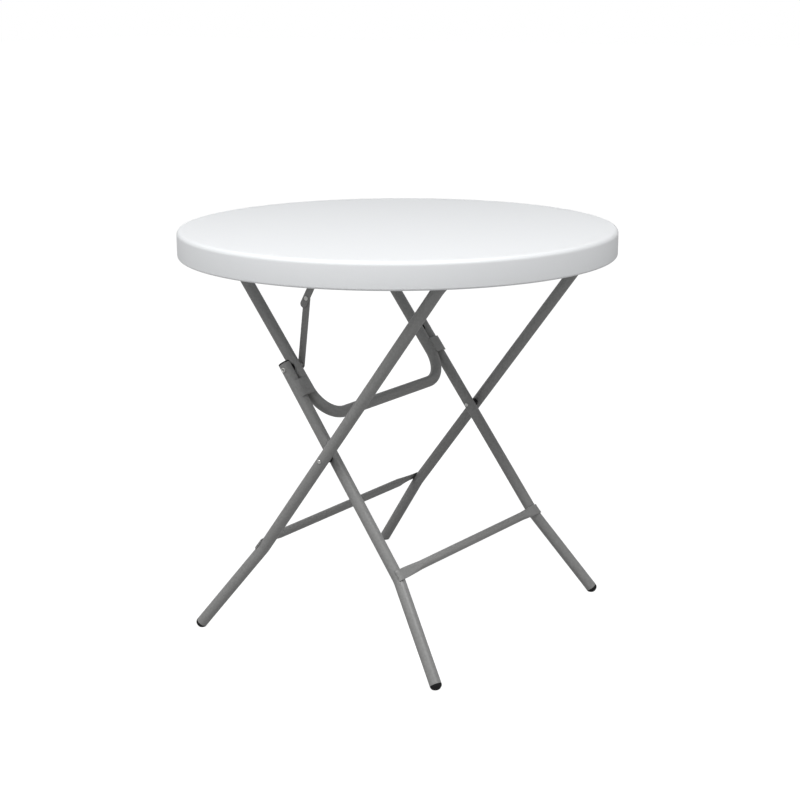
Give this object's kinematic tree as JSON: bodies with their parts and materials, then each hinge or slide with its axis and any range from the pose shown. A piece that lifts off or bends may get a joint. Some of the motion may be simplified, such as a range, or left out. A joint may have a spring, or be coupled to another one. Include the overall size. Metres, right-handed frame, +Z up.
{
  "type": "folding table",
  "caption": "Round folding table: white hollow plastic top on crossed grey steel tube frames that fold flat beneath it.",
  "frame": {"origin": "on the floor under the middle of the top", "axes": "+Z up; Y along every hinge axis; the outer frame's feet are at -X and the inner frame's at +X; the strut is on the -Y side"},
  "size_m": [0.8, 0.8, 0.74],
  "materials": {
    "white_hdpe": "pebble texture, satin",
    "grey_powder_coat": "satin powder coat",
    "bright_zinc": "bright zinc",
    "black_plastic": "satin"
  },
  "bodies": {
    "top": {"tabletop": "white_hdpe", "outer_strap_front": "bright_zinc", "outer_strap_back": "bright_zinc", "u_bar_strap_front": "bright_zinc", "u_bar_strap_back": "bright_zinc", "outer_strap_front_screw_1": "bright_zinc", "outer_strap_front_screw_2": "bright_zinc", "outer_strap_back_screw_1": "bright_zinc", "outer_strap_back_screw_2": "bright_zinc", "u_bar_strap_front_screw_1": "bright_zinc", "u_bar_strap_front_screw_2": "bright_zinc", "u_bar_strap_back_screw_1": "bright_zinc", "u_bar_strap_back_screw_2": "bright_zinc", "strut_bracket": "bright_zinc", "strut_bracket_screw_1": "bright_zinc", "strut_bracket_screw_2": "bright_zinc", "strut_top_rivet": "bright_zinc"},
    "outer_frame": {"outer_frame_tube": "grey_powder_coat", "outer_stretcher": "grey_powder_coat", "outer_foot_front": "black_plastic", "outer_foot_back": "black_plastic", "crossing_rivet_front": "bright_zinc", "crossing_rivet_back": "bright_zinc", "crossing_spacer_front": "black_plastic", "crossing_spacer_back": "black_plastic"},
    "u_bar_frame": {"u_bar": "grey_powder_coat", "u_bar_cross_bar": "grey_powder_coat", "stop_plate_front": "grey_powder_coat", "stop_plate_back": "grey_powder_coat", "pivot_rivet_front": "bright_zinc", "pivot_rivet_back": "bright_zinc", "pivot_washer_front": "black_plastic", "pivot_washer_back": "black_plastic"},
    "inner_frame": {"inner_stretcher": "grey_powder_coat", "inner_leg_front": "grey_powder_coat", "inner_leg_back": "grey_powder_coat", "inner_end_cap_front": "black_plastic", "inner_end_cap_back": "black_plastic", "inner_foot_front": "black_plastic", "inner_foot_back": "black_plastic", "crossing_rivet_tail_front": "bright_zinc", "crossing_rivet_tail_back": "bright_zinc"},
    "strut_upper": {"strut_upper_link": "grey_powder_coat", "strut_elbow_rivet": "bright_zinc"},
    "strut_lower": {"strut_lower_link": "grey_powder_coat", "strut_lower_rivet": "bright_zinc"}
  },
  "joints": [
    {"name": "u_bar_hinge", "type": "hinge", "parent": "top", "child": "u_bar_frame", "pos_m": [-0.246, 0, 0.712], "axis": [0, -1, 0], "range_deg": [0, 50.35]},
    {"name": "outer_frame_hinge", "type": "hinge", "parent": "top", "child": "outer_frame", "pos_m": [0.2805, 0, 0.712], "axis": [0, -1, 0], "range_deg": [-49.3, 0]},
    {"name": "inner_frame_hinge", "type": "hinge", "parent": "u_bar_frame", "child": "inner_frame", "pos_m": [-0.08772, 0, 0.50196], "axis": [0, -1, 0], "range_deg": [-170.3, 0]},
    {"name": "strut_upper_hinge", "type": "hinge", "parent": "top", "child": "strut_upper", "pos_m": [-0.0351, 0, 0.6915], "axis": [0, -1, 0], "range_deg": [-25.2, 0]},
    {"name": "strut_elbow_hinge", "type": "hinge", "parent": "strut_upper", "child": "strut_lower", "pos_m": [-0.0719, 0, 0.6256], "axis": [0, -1, 0], "range_deg": [0, 147.4]}
  ],
  "couplings": [
    {"joint": "outer_frame_hinge", "follows": "u_bar_hinge", "ratio": -0.97885},
    {"joint": "inner_frame_hinge", "follows": "u_bar_hinge", "ratio": -3.3809},
    {"joint": "strut_upper_hinge", "follows": "u_bar_hinge", "ratio": -0.4985},
    {"joint": "strut_elbow_hinge", "follows": "u_bar_hinge", "ratio": 2.9247}
  ]
}
